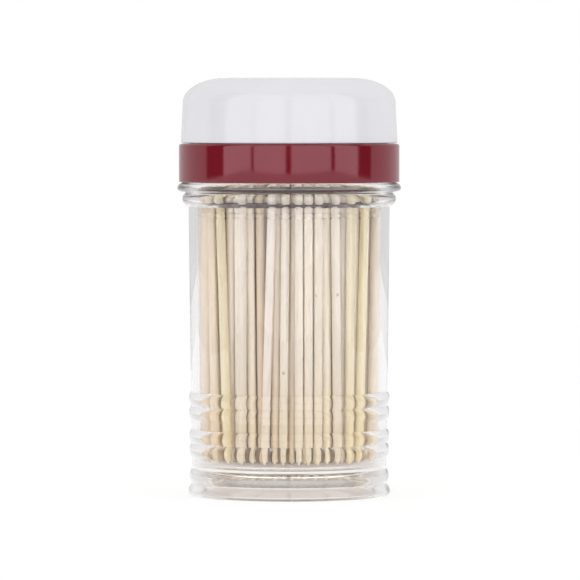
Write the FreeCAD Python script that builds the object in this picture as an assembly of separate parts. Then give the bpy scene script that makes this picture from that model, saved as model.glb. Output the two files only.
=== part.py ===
"""Toothpick dispenser: a clear ribbed jar, a collar with a ported deck that snaps on its mouth, and a
twist cap whose chute meets the port after a quarter turn. Toothpicks stand in the jar, points down.

Millimetres, +Z up. The origin is on the jar's axis at the level of the surface it stands on.
"""
import FreeCAD, Part
import math
import os

V = FreeCAD.Vector
Z_AXIS = V(0, 0, 1)
ORIGIN = V(0, 0, 0)

# ---- Toothpicks ----
PICK_LENGTH = 65.5
PICK_DIAMETER = 2.0
PICK_SIDES = 8
PICK_POINT_LENGTH = 6.0
PICK_TIP_DIAMETER = 0.5
PICK_FLOOR_GAP = 0.7  # the points stand this far over the floor, in its rounded edge
PICK_WALL_GAP = 0.15
PICK_RING_GAP = 0.15  # between one ring of picks and the next
FRONT_SLACK = 2.5  # the picks in the middle of the front stand back from the wall by this much more
LEAN_SHARE = 0.4  # of the free space between two picks, the most that an evenly placed one leans by
LEAN_TURN = 2.4  # radians of the lean's sine from one pick to the next
RING_COUNTS = [41, 39, 39, 34]  # picks round each ring, from the wall inwards

# ---- Jar: foot, ribs and wall ----
BODY_RADIUS = 23.58  # outside of the wall, projected down to the foot
BODY_TAPER = 0.0115  # the wall leans out by this much per millimetre of height
JAR_WALL = 1.9
FLOOR_HEIGHT = 7.0  # top of the floor inside
FLOOR_THICKNESS = 1.4
FLOOR_FILLET = 2.5
FOOT_BAND_HEIGHT = 2.9
FOOT_BAND_PROUD = 0.94
FOOT_EDGE = 0.5
RIB_WIDTH = 3.4
RIB_PROUD = 0.55
FOOT_GROOVE = 0.3  # between the foot band and the lowest rib
LOWER_PLAIN = 2.8  # plain wall between the lowest rib and the first pair
UPPER_PLAIN = 2.2  # plain wall between two pairs
PAIR_COUNT = 2  # the two ribs of a pair touch

# ---- Jar: mouth ----
PICK_HEADROOM = 9.7  # from the tops of the picks to the rim
BEAD_WIDTH = 3.3
BEAD_PROUD = 1.48
BEAD_CREST = 1.8  # height of the bead's crest over its lower edge
BEAD_FLANK = 0.7  # height of the bead's sloping lower flank
BEAD_FLANK_PROUD = 0.9
WEB_HEIGHT = 0.35  # between the bead and the flange
WEB_PROUD = 0.75
FLANGE_THICKNESS = 2.3
FLANGE_OVERHANG = 0.37  # past the collar
NECK_WALL = 1.37
NECK_HEIGHT = 6.9  # from the flange to the rim
SNAP_HEIGHT = 3.9  # of the middle of the neck's snap bead over the flange
SNAP_WIDTH = 1.8
SNAP_PROUD = 0.35
RIM_CHAMFER = 0.4

# ---- Collar ----
COLLAR_WALL = 2.0
COLLAR_EDGE = 0.6
COLLAR_FOOT_EDGE = 0.2
COLLAR_BORE_GAP = 0.75  # from the neck to the inside of the skirt
LIP_WIDTH = 1.4
LIP_SNAP_GAP = 0.1  # the lip at its stretched size, past the neck's bead
DECK_RIM_GAP = 0.4
DECK_THICKNESS = 2.0
PLUG_GAP = 0.2  # between the plug and the jar's mouth
PLUG_WALL = 1.2
PLUG_DEPTH = 2.5
SPIGOT_GAP = 0.76  # from the spigot to the cap's side
SPIGOT_WALL = 1.4
SPIGOT_HEIGHT = 3.0
SPIGOT_BEAD_PROUD = 0.35
SPIGOT_BEAD_WIDTH = 1.0

# ---- Cap ----
CAP_STEP = 0.49  # the collar stands out past the cap
CAP_INSET = 0.46  # of the side, up to the shoulder
CAP_HEIGHT = 15.75
CAP_WALL = 1.5
CAP_EDGE = 0.4
CAP_CORNER_WIDTH = 10.2
CAP_CORNER_DROP = 5.9
CAP_RUNNING_GAP = 0.15  # between the cap and the collar, up and down
CAP_RING_GAP = 0.1  # from the cap's snap ring to the spigot
CAP_RING_WIDTH = 0.9

# ---- Port, chute and stops ----
PORT_PLAY = 0.65  # round a pick
PORT_OFFSET = 14.0  # from the axis
PORT_ANGLE = -90.0
PORT_LEAD = 1.4  # height of the funnel under the port
PORT_LEAD_SPREAD = 1.6
CHUTE_WALL = 0.95
CHUTE_DECK_GAP = 0.15
CHUTE_MOUTH_DEPTH = 0.8
CAP_TURN = 90.0  # degrees from shut to open
STOP_WIDTH = 2.4
STOP_HEIGHT = 1.6
STOP_GAP = 0.15

# Where picks stand round the front of the two outer rings, as the (foot, top) turns in degrees from the
# middle of the front. The rest of each ring is filled evenly.
OUTER_ANGLES = [
    (-90.2, -89.7), (-79.2, -75.7), (-68.1, -65.0), (-55.4, -58.0), (-43.7, -48.9), (-32.1, -30.6),
    (-16.1, -10.7), (-3.9, -2.1), (6.4, 5.9), (12.7, 12.1), (19.1, 18.8), (33.2, 30.1),
    (42.6, 41.9), (51.2, 55.9), (69.2, 74.1), (81.4, 83.8),
]
SECOND_ANGLES = [
    (-74.1, -72.9), (-61.2, -58.0), (-46.9, -46.0), (-38.9, -38.2), (-27.8, -28.7), (-19.8, -20.9),
    (-10.5, -7.8), (1.9, 3.6), (11.7, 11.9), (19.8, 19.7), (29.0, 26.9), (42.0, 41.2),
    (51.9, 53.8), (70.4, 75.3),
]


def body_radius(z):
    """Outside radius of the jar's drafted wall at a height."""
    return BODY_RADIUS + BODY_TAPER * z


def inner_radius(z):
    """Inside radius of the jar at a height."""
    return body_radius(z) - JAR_WALL


# ---- Heights, radii and angles that follow ----
PICK_FOOT = FLOOR_HEIGHT + PICK_FLOOR_GAP
PICK_TOP = PICK_FOOT + PICK_LENGTH
RIM = PICK_TOP + PICK_HEADROOM
FLANGE_TOP = RIM - NECK_HEIGHT
FLANGE_BOTTOM = FLANGE_TOP - FLANGE_THICKNESS
SNAP_MIDDLE = FLANGE_TOP + SNAP_HEIGHT
DECK_BOTTOM = RIM + DECK_RIM_GAP
SHOULDER = DECK_BOTTOM + DECK_THICKNESS
PLUG_BOTTOM = DECK_BOTTOM - PLUG_DEPTH
SPIGOT_TOP = SHOULDER + SPIGOT_HEIGHT
CAP_BOTTOM = SHOULDER + CAP_RUNNING_GAP
CAP_ROOF = CAP_BOTTOM + CAP_HEIGHT
CAP_CORNER_BASE = CAP_ROOF - CAP_CORNER_DROP

NECK_RADIUS = inner_radius(RIM) + NECK_WALL
COLLAR_BORE = NECK_RADIUS + COLLAR_BORE_GAP
COLLAR_RADIUS = COLLAR_BORE + COLLAR_WALL
FLANGE_RADIUS = COLLAR_RADIUS + FLANGE_OVERHANG
CAP_BOTTOM_RADIUS = COLLAR_RADIUS - CAP_STEP
CAP_SHOULDER_RADIUS = CAP_BOTTOM_RADIUS - CAP_INSET
SPIGOT_RADIUS = CAP_BOTTOM_RADIUS - CAP_WALL - SPIGOT_GAP
PORT_RADIUS = PICK_DIAMETER / 2 + PORT_PLAY
CHUTE_RADIUS = PORT_RADIUS + CHUTE_WALL
SHUT_ANGLE = PORT_ANGLE - CAP_TURN


def at(r, z):
    """A point in the half plane that is turned round the axis."""
    return V(r, 0, z)


def line_or_arc(start, step):
    """The edge of one outline step, a point for a line or (middle, end) for an arc, and where it ends."""
    if isinstance(step, tuple):
        middle, end = step
        return Part.Arc(start, middle, end).toShape(), end
    return Part.LineSegment(start, step).toShape(), step


def turned(start, *steps):
    """The solid that a closed outline sweeps round the axis. A step may also be a ready-made edge.

    A straight step to where the outline already is adds nothing, as between two ribs that touch.
    """
    edges = []
    here = start
    for step in steps:
        if isinstance(step, V) and step.isEqual(here, 1e-6):
            continue
        if isinstance(step, Part.Edge):
            edges.append(step)
            here = step.lastVertex(True).Point
        else:
            edge, here = line_or_arc(here, step)
            edges.append(edge)
    edges.append(Part.LineSegment(here, start).toShape())
    return Part.Face(Part.Wire(edges)).revolve(ORIGIN, Z_AXIS, 360)


def round_corner(centre_r, centre_z, radius, from_deg, to_deg):
    """The (middle, end) of an arc about a centre, for an outline step."""
    middle = math.radians((from_deg + to_deg) / 2)
    end = math.radians(to_deg)
    return (
        at(centre_r + radius * math.cos(middle), centre_z + radius * math.sin(middle)),
        at(centre_r + radius * math.cos(end), centre_z + radius * math.sin(end)),
    )


def band(radius, middle, width, proud):
    """Outline steps of a rounded band that stands out from a wall whose radius is a function of height."""
    low = middle - width / 2
    high = middle + width / 2
    crest = at(radius(middle) + proud, middle)
    return [at(radius(low), low), (crest, at(radius(high), high))]


def ridge(radius, middle, width, proud):
    """Outline steps of a snap bead with sloping flanks and a flat crest, up a straight wall."""
    return [
        at(radius, middle - width / 2),
        at(radius + proud, middle - width / 6),
        at(radius + proud, middle + width / 6),
        at(radius, middle + width / 2),
    ]


def rib_heights():
    """The middles of the jar's ribs, from the foot up: a single one, then the pairs."""
    base = FOOT_BAND_HEIGHT + FOOT_GROOVE
    heights = [base + RIB_WIDTH / 2]
    base += RIB_WIDTH + LOWER_PLAIN
    for _ in range(PAIR_COUNT):
        heights.append(base + RIB_WIDTH / 2)
        heights.append(base + RIB_WIDTH + RIB_WIDTH / 2)
        base += 2 * RIB_WIDTH + UPPER_PLAIN
    return heights


def foot_band():
    """Outline steps up the foot: its rounded lower edge, then a convex face back to the wall."""
    outer = BODY_RADIUS + FOOT_BAND_PROUD
    edge = round_corner(outer - FOOT_EDGE, FOOT_EDGE, FOOT_EDGE, -90, 0)
    top = at(body_radius(FOOT_BAND_HEIGHT), FOOT_BAND_HEIGHT)
    middle = at(outer - FOOT_BAND_PROUD * 0.25, (FOOT_EDGE + FOOT_BAND_HEIGHT) / 2)
    return [edge, (middle, top)]


def bead():
    """Outline steps of the bead under the flange: a sloping flank, a rounded crest, then the web over it."""
    web_foot = FLANGE_BOTTOM - WEB_HEIGHT
    foot = web_foot - BEAD_WIDTH
    crest = foot + BEAD_CREST
    web = body_radius(web_foot) + WEB_PROUD
    return [
        at(body_radius(foot), foot),
        at(body_radius(foot) + BEAD_FLANK_PROUD, foot + BEAD_FLANK),
        (at(body_radius(crest) + BEAD_PROUD, crest), at(web, web_foot)),
        at(web, FLANGE_BOTTOM),
    ]


def flange():
    """Outline steps round the flange that the collar sits on."""
    edge = FLANGE_THICKNESS / 2
    return [
        at(FLANGE_RADIUS - edge, FLANGE_BOTTOM),
        round_corner(FLANGE_RADIUS - edge, FLANGE_BOTTOM + edge, edge, -90, 90),
    ]


def neck():
    """Outline steps up the neck, over its snap bead and round the chamfered rim to the inside."""
    return [
        at(NECK_RADIUS, FLANGE_TOP),
        *ridge(NECK_RADIUS, SNAP_MIDDLE, SNAP_WIDTH, SNAP_PROUD),
        at(NECK_RADIUS, RIM - RIM_CHAMFER),
        at(NECK_RADIUS - RIM_CHAMFER, RIM),
        at(inner_radius(RIM) + RIM_CHAMFER, RIM),
        at(inner_radius(RIM - RIM_CHAMFER), RIM - RIM_CHAMFER),
    ]


def jar():
    """The clear container, open at the top, with a raised floor over a hollow foot."""
    foot_inside = BODY_RADIUS - JAR_WALL
    underside = FLOOR_HEIGHT - FLOOR_THICKNESS
    wall_base = FLOOR_HEIGHT + FLOOR_FILLET
    floor_edge = inner_radius(wall_base) - FLOOR_FILLET
    steps = [at(foot_inside, 0), at(BODY_RADIUS + FOOT_BAND_PROUD - FOOT_EDGE, 0)]
    steps += foot_band()
    for middle in rib_heights():
        steps += band(body_radius, middle, RIB_WIDTH, RIB_PROUD)
    steps += bead()
    steps += flange()
    steps += neck()
    steps += [
        at(inner_radius(wall_base), wall_base),
        round_corner(floor_edge, wall_base, FLOOR_FILLET, 0, -90),
        at(0, FLOOR_HEIGHT),
    ]
    return turned(at(0, underside), at(foot_inside, underside), *steps)


def port(radius, bottom, top, angle):
    """A round bar at the port's distance from the axis."""
    direction = math.radians(angle)
    centre = V(PORT_OFFSET * math.cos(direction), PORT_OFFSET * math.sin(direction), bottom)
    return Part.makeCylinder(radius, top - bottom, centre, Z_AXIS)


def funnel(narrow, wide, narrow_z, wide_z, angle):
    """A cone at the port's distance from the axis, for a lead-in."""
    direction = math.radians(angle)
    centre = V(PORT_OFFSET * math.cos(direction), PORT_OFFSET * math.sin(direction), wide_z)
    up = V(0, 0, math.copysign(1, narrow_z - wide_z))
    return Part.makeCone(wide, narrow, abs(narrow_z - wide_z), centre, up)


def stop_lug(angle):
    """A low wall across the chute's path on the deck."""
    wall = Part.makeBox(
        2 * CHUTE_RADIUS, STOP_WIDTH, STOP_HEIGHT + DECK_THICKNESS / 2,
        V(PORT_OFFSET - CHUTE_RADIUS, -STOP_WIDTH / 2, SHOULDER - DECK_THICKNESS / 2),
    )
    return wall.rotate(ORIGIN, Z_AXIS, angle)


def collar_ring():
    """The collar's turned form: skirt with its snap lip, deck, plug and spigot."""
    lip_radius = NECK_RADIUS + SNAP_PROUD + LIP_SNAP_GAP
    lip_middle = (FLANGE_TOP + SNAP_MIDDLE - SNAP_WIDTH / 2) / 2
    bead_middle = SPIGOT_TOP - SPIGOT_BEAD_WIDTH / 2
    plug_outside = inner_radius(PLUG_BOTTOM) - PLUG_GAP
    plug_inside = plug_outside - PLUG_WALL
    edge = COLLAR_RADIUS - COLLAR_EDGE
    foot_edge = COLLAR_RADIUS - COLLAR_FOOT_EDGE
    outside = [
        at(foot_edge, FLANGE_TOP),
        round_corner(foot_edge, FLANGE_TOP + COLLAR_FOOT_EDGE, COLLAR_FOOT_EDGE, -90, 0),
        at(COLLAR_RADIUS, SHOULDER - COLLAR_EDGE),
        round_corner(edge, SHOULDER - COLLAR_EDGE, COLLAR_EDGE, 0, 90),
        at(SPIGOT_RADIUS, SHOULDER),
        *ridge(SPIGOT_RADIUS, bead_middle, SPIGOT_BEAD_WIDTH, SPIGOT_BEAD_PROUD),
    ]
    deck = [
        at(SPIGOT_RADIUS - SPIGOT_WALL, SPIGOT_TOP),
        at(SPIGOT_RADIUS - SPIGOT_WALL, SHOULDER),
        at(0, SHOULDER),
        at(0, DECK_BOTTOM),
    ]
    plug = [
        at(plug_inside, DECK_BOTTOM),
        at(plug_inside, PLUG_BOTTOM),
        at(plug_outside, PLUG_BOTTOM),
        at(plug_outside, DECK_BOTTOM),
        at(COLLAR_BORE, DECK_BOTTOM),
    ]
    lip = ridge(COLLAR_BORE, lip_middle, LIP_WIDTH, lip_radius - COLLAR_BORE)
    return turned(at(COLLAR_BORE, FLANGE_TOP), *outside, *deck, *plug, *reversed(lip))


def collar():
    """The red collar: it snaps on the jar's neck, and its ported deck closes the mouth."""
    swing = math.degrees(math.asin((CHUTE_RADIUS + STOP_GAP + STOP_WIDTH / 2) / PORT_OFFSET))
    ring = collar_ring().fuse([stop_lug(SHUT_ANGLE - swing), stop_lug(PORT_ANGLE + swing)])
    hole = port(PORT_RADIUS, PLUG_BOTTOM, SPIGOT_TOP, PORT_ANGLE)
    wide = PORT_RADIUS + PORT_LEAD_SPREAD
    lead = funnel(PORT_RADIUS, wide, DECK_BOTTOM + PORT_LEAD, DECK_BOTTOM, PORT_ANGLE)
    return ring.cut([hole, lead]).removeSplitter()


def corner_arc(centre_r, centre_z, width, drop, outwards):
    """The quarter ellipse of the cap's shoulder, from the roof out to the side or back."""
    centre = at(centre_r, centre_z)
    ellipse = Part.Ellipse(at(centre_r + width, centre_z), at(centre_r, centre_z + drop), centre)
    edge = Part.ArcOfEllipse(ellipse, 0, math.pi / 2).toShape()
    return edge if outwards else edge.reversed()


def cap_inside(z):
    """Inside radius of the cap's tapered side at a height."""
    rise = (z - CAP_BOTTOM) / (CAP_CORNER_BASE - CAP_BOTTOM)
    return CAP_BOTTOM_RADIUS - CAP_WALL - CAP_INSET * rise


def cap_shell():
    """The cap's turned form: tapered side, elliptical shoulder, flat roof and inner snap ring."""
    corner_r = CAP_SHOULDER_RADIUS - CAP_CORNER_WIDTH
    ring_crest = SPIGOT_RADIUS + CAP_RING_GAP
    ring_high = SPIGOT_TOP - SPIGOT_BEAD_WIDTH - CAP_RUNNING_GAP
    ring_low = ring_high - CAP_RING_WIDTH
    outside = [
        round_corner(CAP_BOTTOM_RADIUS - CAP_EDGE, CAP_BOTTOM + CAP_EDGE, CAP_EDGE, -90, 0),
        at(CAP_SHOULDER_RADIUS, CAP_CORNER_BASE),
        corner_arc(corner_r, CAP_CORNER_BASE, CAP_CORNER_WIDTH, CAP_CORNER_DROP, True),
        at(0, CAP_ROOF),
    ]
    inside = [
        at(0, CAP_ROOF - CAP_WALL),
        at(corner_r, CAP_ROOF - CAP_WALL),
        corner_arc(corner_r, CAP_CORNER_BASE, CAP_CORNER_WIDTH - CAP_WALL, CAP_CORNER_DROP - CAP_WALL, False),
    ]
    ring = [
        at(cap_inside(ring_high), ring_high),
        at(ring_crest, ring_high - CAP_RING_WIDTH / 3),
        at(ring_crest, ring_low + CAP_RING_WIDTH / 3),
        at(cap_inside(ring_low), ring_low),
    ]
    start = at(cap_inside(CAP_BOTTOM), CAP_BOTTOM)
    return turned(start, at(CAP_BOTTOM_RADIUS - CAP_EDGE, CAP_BOTTOM), *outside, *inside, *ring)


def cap():
    """The white twist cap, with the chute that carries a pick from the port out through the roof."""
    chute = port(CHUTE_RADIUS, SHOULDER + CHUTE_DECK_GAP, CAP_ROOF - CAP_WALL / 2, SHUT_ANGLE)
    hole = port(PORT_RADIUS, SHOULDER, CAP_ROOF + CAP_WALL, SHUT_ANGLE)
    wide = PORT_RADIUS + CHUTE_MOUTH_DEPTH
    mouth = funnel(PORT_RADIUS, wide, CAP_ROOF - CHUTE_MOUTH_DEPTH, CAP_ROOF, SHUT_ANGLE)
    return cap_shell().fuse(chute).cut([hole, mouth]).removeSplitter()


def pick_ring_radius(ring, z):
    """Radius of the circle that a ring of picks stands on, at a height."""
    outermost = inner_radius(z) - PICK_WALL_GAP - PICK_DIAMETER / 2
    return outermost - ring * (PICK_DIAMETER + PICK_RING_GAP)


def place_on_ring(ring, turn, z):
    """The point at a turn in degrees round a ring, from the middle of the front."""
    radius = pick_ring_radius(ring, z)
    angle = math.radians(turn)
    back = FRONT_SLACK * max(0, math.cos(angle)) ** 2
    return V(radius * math.sin(angle), back - radius * math.cos(angle), z)


def filled_evenly(ring, first, last, more):
    """The (foot, top) turns of more picks, from a ring's last placed one round the back to its first."""
    foot_step = (first[0] + 360 - last[0]) / (more + 1)
    top_step = (first[1] + 360 - last[1]) / (more + 1)
    pick_width = math.degrees(PICK_DIAMETER / pick_ring_radius(ring, PICK_FOOT))
    free = min(foot_step, top_step) - pick_width
    places = []
    for k in range(1, more + 1):
        lean = free * LEAN_SHARE * math.sin(k * LEAN_TURN)
        places.append((last[0] + foot_step * k - lean, last[1] + top_step * k + lean))
    return places


def pick_places(ring):
    """All (foot, top) turns of a ring. The front ones are given, or one pick starts an even ring."""
    fronts = [OUTER_ANGLES, SECOND_ANGLES]
    front = fronts[ring] if ring < len(fronts) else [(0, 0)]
    return front + filled_evenly(ring, front[0], front[-1], RING_COUNTS[ring] - len(front))


def toothpick(ring, place):
    """One pick as a many-sided bar with a tapered point at its foot."""
    foot = place_on_ring(ring, place[0], PICK_FOOT)
    top = place_on_ring(ring, place[1], PICK_TOP)
    along = (top - foot).normalize()
    side = along.cross(V(1, 0, 0)).normalize()
    across = along.cross(side)

    def section(distance, diameter):
        """The corners of a cross section."""
        corners = []
        for k in range(PICK_SIDES):
            turn = 2 * math.pi * k / PICK_SIDES
            reach = side * math.cos(turn) + across * math.sin(turn)
            corners.append(foot + along * distance + reach * (diameter / 2))
        return corners

    tip = section(0, PICK_TIP_DIAMETER)
    neck_end = section(PICK_POINT_LENGTH, PICK_DIAMETER)
    end = section(PICK_LENGTH, PICK_DIAMETER)
    loops = [tip, end]
    for low, high in ((tip, neck_end), (neck_end, end)):
        for k in range(PICK_SIDES):
            after = (k + 1) % PICK_SIDES
            loops.append([low[k], low[after], high[after], high[k]])
    faces = [Part.Face(Part.makePolygon(loop + loop[:1])) for loop in loops]
    return Part.Solid(Part.Shell(faces))


def save(name, shape):
    """Writes one piece, or a group of like pieces, to its own file."""
    shape.exportStep("parts/" + name + ".step")


def main():
    os.makedirs("parts", exist_ok=True)
    save("jar", jar())
    save("collar", collar())
    save("cap", cap())
    for number, place in enumerate(pick_places(0), 1):
        save(f"toothpick_{number:02d}", toothpick(0, place))
    for ring in range(1, len(RING_COUNTS)):
        picks = Part.makeCompound([toothpick(ring, place) for place in pick_places(ring)])
        save(f"toothpicks_ring_{ring + 1}", picks)


main()
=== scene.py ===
"""Dresses the toothpick dispenser: clear ribbed jar, crimson collar, white twist cap and wooden picks."""
import math
import random

import bmesh
import bpy
from mathutils import Matrix, Vector


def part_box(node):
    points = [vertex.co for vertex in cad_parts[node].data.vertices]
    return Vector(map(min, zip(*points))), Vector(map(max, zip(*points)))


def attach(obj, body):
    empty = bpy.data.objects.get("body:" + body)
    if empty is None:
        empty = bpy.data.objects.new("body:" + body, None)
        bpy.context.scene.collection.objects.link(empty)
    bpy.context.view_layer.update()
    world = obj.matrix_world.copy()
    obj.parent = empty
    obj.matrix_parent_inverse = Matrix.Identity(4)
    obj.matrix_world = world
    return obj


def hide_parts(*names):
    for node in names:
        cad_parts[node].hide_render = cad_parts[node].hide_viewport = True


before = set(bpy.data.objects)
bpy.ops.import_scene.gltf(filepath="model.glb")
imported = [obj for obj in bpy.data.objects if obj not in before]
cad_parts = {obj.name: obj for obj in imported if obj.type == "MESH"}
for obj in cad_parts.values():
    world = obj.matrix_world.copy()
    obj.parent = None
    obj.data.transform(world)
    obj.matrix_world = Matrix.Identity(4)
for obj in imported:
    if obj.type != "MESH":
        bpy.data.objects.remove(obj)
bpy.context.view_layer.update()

bl_info = {
    "name": "Toothpick dispenser",
    "version": (1, 0, 0),
    "blender": (4, 5, 0),
    "location": "View3D > Sidebar > Dispenser",
    "description": "Builds the jar, collar, cap, picks and studio of a toothpick dispenser",
    "category": "Add Mesh",
}

MM = 0.001
WHITE = (1.0, 1.0, 1.0, 1.0)
BLACK = (0.0, 0.0, 0.0, 1.0)
# An outline's point nearer the axis than this lies on it.
ON_AXIS = 1e-7
# Corners of a CAD node nearer each other than this are one.
WELD = 1e-6
# How far a tool or an added piece reaches past the face that it meets.
OVERLAP = 1.0 * MM


# ---- Outlines of turned forms ----

def oval(centre, width, height, start_deg, end_deg, steps):
    """Points (r, z) along an arc of an ellipse about a centre, both ends included."""
    points = []
    for k in range(steps + 1):
        turn = math.radians(start_deg + (end_deg - start_deg) * k / steps)
        points.append((centre[0] + width * math.cos(turn), centre[1] + height * math.sin(turn)))
    return points


def arc(centre, radius, start_deg, end_deg, steps):
    """Points (r, z) along an arc of a circle about a centre, both ends included."""
    return oval(centre, radius, radius, start_deg, end_deg, steps)


def bulge(radius, low, high, proud, steps):
    """Points (r, z) of a rounded band on a wall, whose radius is a function of height."""
    half = (high - low) / 2
    arc_radius = (half ** 2 + proud ** 2) / (2 * proud)
    points = []
    for k in range(steps + 1):
        z = -half * math.cos(math.pi * k / steps)
        out = math.sqrt(max(arc_radius ** 2 - z ** 2, 0)) - (arc_radius - proud)
        height = (low + high) / 2 + z
        points.append((radius(height) + out, height))
    return points


def arc_through(start, middle, end, steps):
    """Points (r, z) along the arc through three points."""
    (ax, ay), (bx, by), (cx, cy) = start, middle, end
    scale = 2 * (ax * (by - cy) + bx * (cy - ay) + cx * (ay - by))
    a, b, c = ax ** 2 + ay ** 2, bx ** 2 + by ** 2, cx ** 2 + cy ** 2
    centre = (
        (a * (by - cy) + b * (cy - ay) + c * (ay - by)) / scale,
        (a * (cx - bx) + b * (ax - cx) + c * (bx - ax)) / scale,
    )
    first = math.degrees(math.atan2(ay - centre[1], ax - centre[0]))
    last = math.degrees(math.atan2(cy - centre[1], cx - centre[0]))
    return arc(centre, math.dist(start, centre), first, last, steps)


def linked(name, data):
    """A new object with this data, in the scene."""
    piece = bpy.data.objects.new(name, data)
    bpy.context.scene.collection.objects.link(piece)
    return piece


def mesh_piece(name, mesh):
    """A new object with what a bmesh holds, which is freed."""
    data = bpy.data.meshes.new(name)
    mesh.to_mesh(data)
    mesh.free()
    return linked(name, data)


def turned_mesh(name, outline, segments):
    """A closed mesh swept round the axis from an outline that runs anticlockwise in the (r, z) plane."""
    mesh = bmesh.new()
    rings = []
    for r, z in outline:
        if r < ON_AXIS:
            rings.append([mesh.verts.new((0, 0, z))])
            continue
        ring = []
        for k in range(segments):
            turn = 2 * math.pi * k / segments
            ring.append(mesh.verts.new((r * math.cos(turn), r * math.sin(turn), z)))
        rings.append(ring)
    for here, after in zip(rings, rings[1:] + rings[:1]):
        if len(here) == 1 and len(after) == 1:
            continue
        for k in range(segments):
            beside = (k + 1) % segments
            places = ((here, k), (here, beside), (after, beside), (after, k))
            corners = [ring[place % len(ring)] for ring, place in places]
            mesh.faces.new(list(dict.fromkeys(corners)))
    bmesh.ops.recalc_face_normals(mesh, faces=mesh.faces)
    piece = mesh_piece(name, mesh)
    finish_edges(piece)
    return piece


def settle(piece, body, slot, *nodes):
    """Gives a finished piece its body and hides the CAD nodes that it stands for. The slot is not used."""
    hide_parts(*nodes)
    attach(piece, body)


def applied(piece):
    """Turns a piece's modifiers into plain mesh."""
    graph = bpy.context.evaluated_depsgraph_get()
    data = bpy.data.meshes.new_from_object(piece.evaluated_get(graph))
    piece.modifiers.clear()
    piece.data = data


def joined(piece, other):
    """Adds another piece's mesh to a piece, and removes the other."""
    mesh = bmesh.new()
    mesh.from_mesh(piece.data)
    mesh.from_mesh(other.data)
    mesh.to_mesh(piece.data)
    mesh.free()
    bpy.data.objects.remove(other)


def finish_edges(piece, sharp_deg=35):
    """Smooth faces, with edges sharp where the form turns by more than an angle."""
    piece.data.shade_smooth()
    piece.data.set_sharp_from_angle(angle=math.radians(sharp_deg))


def combined(piece, tool, operation):
    """Adds a tool to a piece or cuts it away, and removes the tool."""
    change = piece.modifiers.new("combine", "BOOLEAN")
    change.operation = operation
    change.solver = "EXACT"
    change.object = tool
    applied(piece)
    bpy.data.objects.remove(tool)


# ---- Node trees ----

class Signal:
    """A socket in a node tree. Arithmetic on it adds Math nodes."""

    def __init__(self, nodes, socket):
        self.nodes = nodes
        self.socket = socket

    def _math(self, operation, *terms):
        return self.nodes.add("ShaderNodeMath", {"operation": operation}, dict(enumerate(terms)))

    def __add__(self, other):
        return self._math("ADD", self, other)

    __radd__ = __add__

    def __sub__(self, other):
        return self._math("SUBTRACT", self, other)

    def __rsub__(self, other):
        return self._math("SUBTRACT", other, self)

    def __mul__(self, other):
        return self._math("MULTIPLY", self, other)

    __rmul__ = __mul__

    def __truediv__(self, other):
        return self._math("DIVIDE", self, other)

    def __rtruediv__(self, other):
        return self._math("DIVIDE", other, self)

    def __neg__(self):
        return self._math("MULTIPLY", self, -1.0)

    def __gt__(self, other):
        return self._math("GREATER_THAN", self, other)

    def __lt__(self, other):
        return self._math("LESS_THAN", self, other)

    def smoothstep(self, low, high):
        """0 under low, 1 over high, and a smooth step between."""
        return self.nodes.add(
            "ShaderNodeMapRange",
            {"interpolation_type": "SMOOTHSTEP"},
            {"Value": self, "From Min": low, "From Max": high},
        )


class Nodes:
    """A node tree that is being written."""

    def __init__(self, tree):
        self.tree = tree
        tree.nodes.clear()

    def add(self, kind, settings=None, values=None, output=0):
        """Adds a node with its settings first, then its sockets' values or links, and returns an output."""
        made = self.tree.nodes.new(kind)
        for key, value in (settings or {}).items():
            if key == "stops":
                self._set_stops(made.color_ramp, value)
            else:
                setattr(made, key, value)
        for key, value in (values or {}).items():
            if isinstance(value, Signal):
                self.tree.links.new(value.socket, made.inputs[key])
            else:
                made.inputs[key].default_value = value
        if isinstance(output, tuple):
            return [Signal(self, made.outputs[one]) for one in output]
        return Signal(self, made.outputs[output])

    @staticmethod
    def _set_stops(ramp, stops):
        while len(ramp.elements) < len(stops):
            ramp.elements.new(1.0)
        for element, (position, colour) in zip(ramp.elements, stops):
            element.position = position
            element.color = colour

    def mix(self, factor, first, second):
        """Two colours blended by a factor."""
        return self.add("ShaderNodeMix", {"data_type": "RGBA"}, {0: factor, 6: first, 7: second}, output=2)

    def times(self, first, second):
        """Two colours multiplied."""
        return self.add("ShaderNodeVectorMath", {"operation": "MULTIPLY"}, {0: first, 1: second})

    def noise(self, vector, scale, detail=2.0, roughness=0.5):
        """Noise from 0 to 1 round a middle of 0.5."""
        values = {"Vector": vector, "Scale": scale, "Detail": detail, "Roughness": roughness}
        return self.add("ShaderNodeTexNoise", {}, values)

    def streaks(self, vector, across, along, detail, roughness=0.5):
        """Noise drawn out up the piece, from its scales across and along the streaks."""
        drawn = self.add("ShaderNodeMapping", {}, {"Vector": vector, "Scale": (across, across, along)})
        return self.noise(drawn, 1.0, detail, roughness)

    def attribute(self, name, output):
        """What a mesh holds under a name."""
        return self.add("ShaderNodeAttribute", {"attribute_name": name}, output=output)

    def light_path(self):
        """Whether a ray is the camera's, mirrored or refracted, and how often it has been scattered."""
        return self.add("ShaderNodeLightPath", output=(
            "Is Camera Ray", "Is Glossy Ray", "Is Transmission Ray", "Diffuse Depth",
        ))

    def object_place(self):
        """Coordinates in the piece's own space."""
        return self.add("ShaderNodeTexCoord", output="Object")

    def bump(self, height, strength, distance):
        """A normal tilted by a height."""
        values = {"Height": height, "Strength": strength, "Distance": distance}
        return self.add("ShaderNodeBump", {}, values)

    def surface(self, shader):
        """Ends a material's tree."""
        self.add_output("ShaderNodeOutputMaterial", "Surface", shader)

    def add_output(self, kind, socket, signal):
        """Ends the tree at an output node."""
        out = self.tree.nodes.new(kind)
        self.tree.links.new(signal.socket, out.inputs[socket])


def new_material(name):
    """A material with an empty node tree, ready to write."""
    material = bpy.data.materials.new(name)
    material.use_nodes = True
    return material, Nodes(material.node_tree)


# ---- Materials ----

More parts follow.
